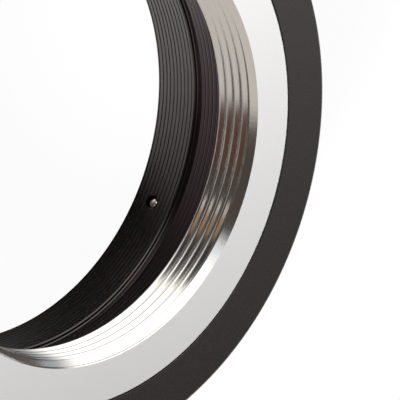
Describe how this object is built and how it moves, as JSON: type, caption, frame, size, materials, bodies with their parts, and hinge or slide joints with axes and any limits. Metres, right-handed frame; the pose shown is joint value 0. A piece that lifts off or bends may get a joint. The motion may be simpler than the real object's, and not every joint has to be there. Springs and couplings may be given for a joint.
{
  "type": "lens mount adapter",
  "caption": "Round adapter ring that carries a screw-thread lens on a bayonet camera body, with a black body, silver thread ring, grooved bore and clawed bayonet.",
  "frame": {"origin": "on the optical axis at the rear end of the bayonet tube, which the adapter stands on", "axes": "+Z along the optical axis towards the lens, +Y towards the index dot"},
  "size_m": [0.062, 0.062, 0.0144],
  "materials": {
    "black_anodised": "matte black anodised, fine bead-blasted grain",
    "satin_silver": "satin plating on brass, polished in the thread",
    "bayonet_plating": "bright turned plating on brass, bore blackened",
    "pin_steel": "polished",
    "screw_steel": "turned, cross recess",
    "blackened_steel": "black oxide",
    "index_enamel": "gloss red enamel"
  },
  "bodies": {
    "root": {"body_ring": "black_anodised", "thread_ring": "satin_silver", "bayonet_mount": "bayonet_plating", "stop_pin": "pin_steel", "mount_screws": "screw_steel", "grub_screws": "blackened_steel", "index_dot": "index_enamel"}
  },
  "joints": []
}
